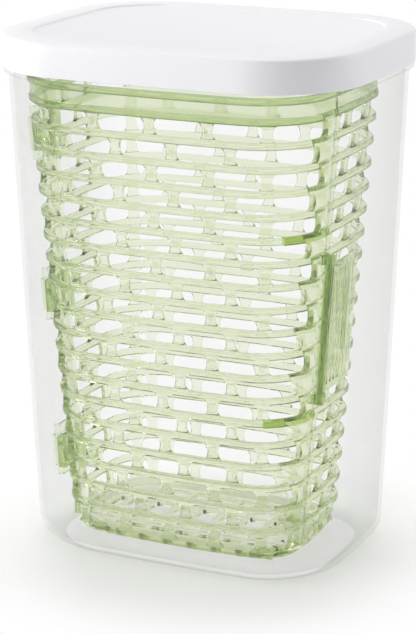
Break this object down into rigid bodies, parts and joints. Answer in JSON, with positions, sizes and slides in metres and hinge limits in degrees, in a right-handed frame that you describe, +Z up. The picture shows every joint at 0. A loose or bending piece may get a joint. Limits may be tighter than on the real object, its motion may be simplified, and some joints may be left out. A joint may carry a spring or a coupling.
{
  "type": "produce keeper",
  "caption": "Upright clear food container with a white lift-off lid, a hinged slotted green basket standing inside, and a vent and carbon filter under the lid",
  "frame": {"origin": "centre of the footprint on the surface that the container stands on", "axes": "+Z up through the lid; +X across the width to the latch side; the basket's door and the front face -Y"},
  "size_m": [0.1946, 0.1606, 0.274],
  "materials": {
    "clear_plastic": "clear polished moulded plastic",
    "basket_green": "translucent pale green moulded plastic",
    "lid_white": "satin white moulded plastic",
    "liner_white": "matt white moulded plastic",
    "seal_silicone": "translucent soft silicone",
    "trim_green": "satin green moulded plastic",
    "filter_fabric": "dark non-woven sachet filled with carbon grains"
  },
  "bodies": {
    "container_body": {"container": "clear_plastic", "container_floor": "clear_plastic"},
    "basket_body": {"basket_back": "basket_green", "basket_corner_left": "basket_green", "basket_corner_right": "basket_green", "basket_left": "basket_green", "basket_right": "basket_green", "basket_floor": "basket_green", "latch_catch": "basket_green", "hinge_bar_lower": "basket_green", "hinge_bar_middle": "basket_green", "hinge_bar_upper": "basket_green"},
    "door_body": {"basket_door": "basket_green", "door_corner_left": "basket_green", "door_corner_right": "basket_green", "door_left": "basket_green", "door_right": "basket_green", "door_floor": "basket_green", "hinge_clip_lower": "basket_green", "hinge_clip_middle": "basket_green", "hinge_clip_upper": "basket_green", "latch_bracket": "basket_green", "latch_pin": "basket_green"},
    "latch_body": {"latch_plate": "basket_green"},
    "lid_body": {"lid_shell": "lid_white", "lid_liner": "liner_white", "lid_seal": "seal_silicone", "filter_tray": "liner_white", "filter_pouch": "filter_fabric", "filter_cover_pin": "liner_white"},
    "vent_body": {"vent_slider": "trim_green"},
    "filter_cover_body": {"filter_cover": "trim_green"}
  },
  "joints": [
    {"name": "basket_lift", "type": "slide", "parent": "container_body", "child": "basket_body", "axis": [0, 0, 1], "range_m": [0, 0.28]},
    {"name": "door_hinge", "type": "hinge", "parent": "basket_body", "child": "door_body", "pos_m": [-0.08115, -0.0307, 0.13131], "axis": [0.0658, 0, -0.9978], "range_deg": [0, 1.2]},
    {"name": "latch_pivot", "type": "hinge", "parent": "door_body", "child": "latch_body", "pos_m": [0.07623, -0.0262, 0.1298], "axis": [-0.0658, 0, -0.9978], "range_deg": [0, 14]},
    {"name": "lid_lift", "type": "slide", "parent": "basket_body", "child": "lid_body", "axis": [0, 0, 1], "range_m": [0, 0.15]},
    {"name": "vent_slide", "type": "slide", "parent": "lid_body", "child": "vent_body", "axis": [1, 0, 0], "range_m": [0, 0.006]},
    {"name": "filter_cover_hinge", "type": "hinge", "parent": "lid_body", "child": "filter_cover_body", "pos_m": [0.026, -0.03535, 0.25405], "axis": [-1, 0, 0], "range_deg": [0, 95]}
  ]
}
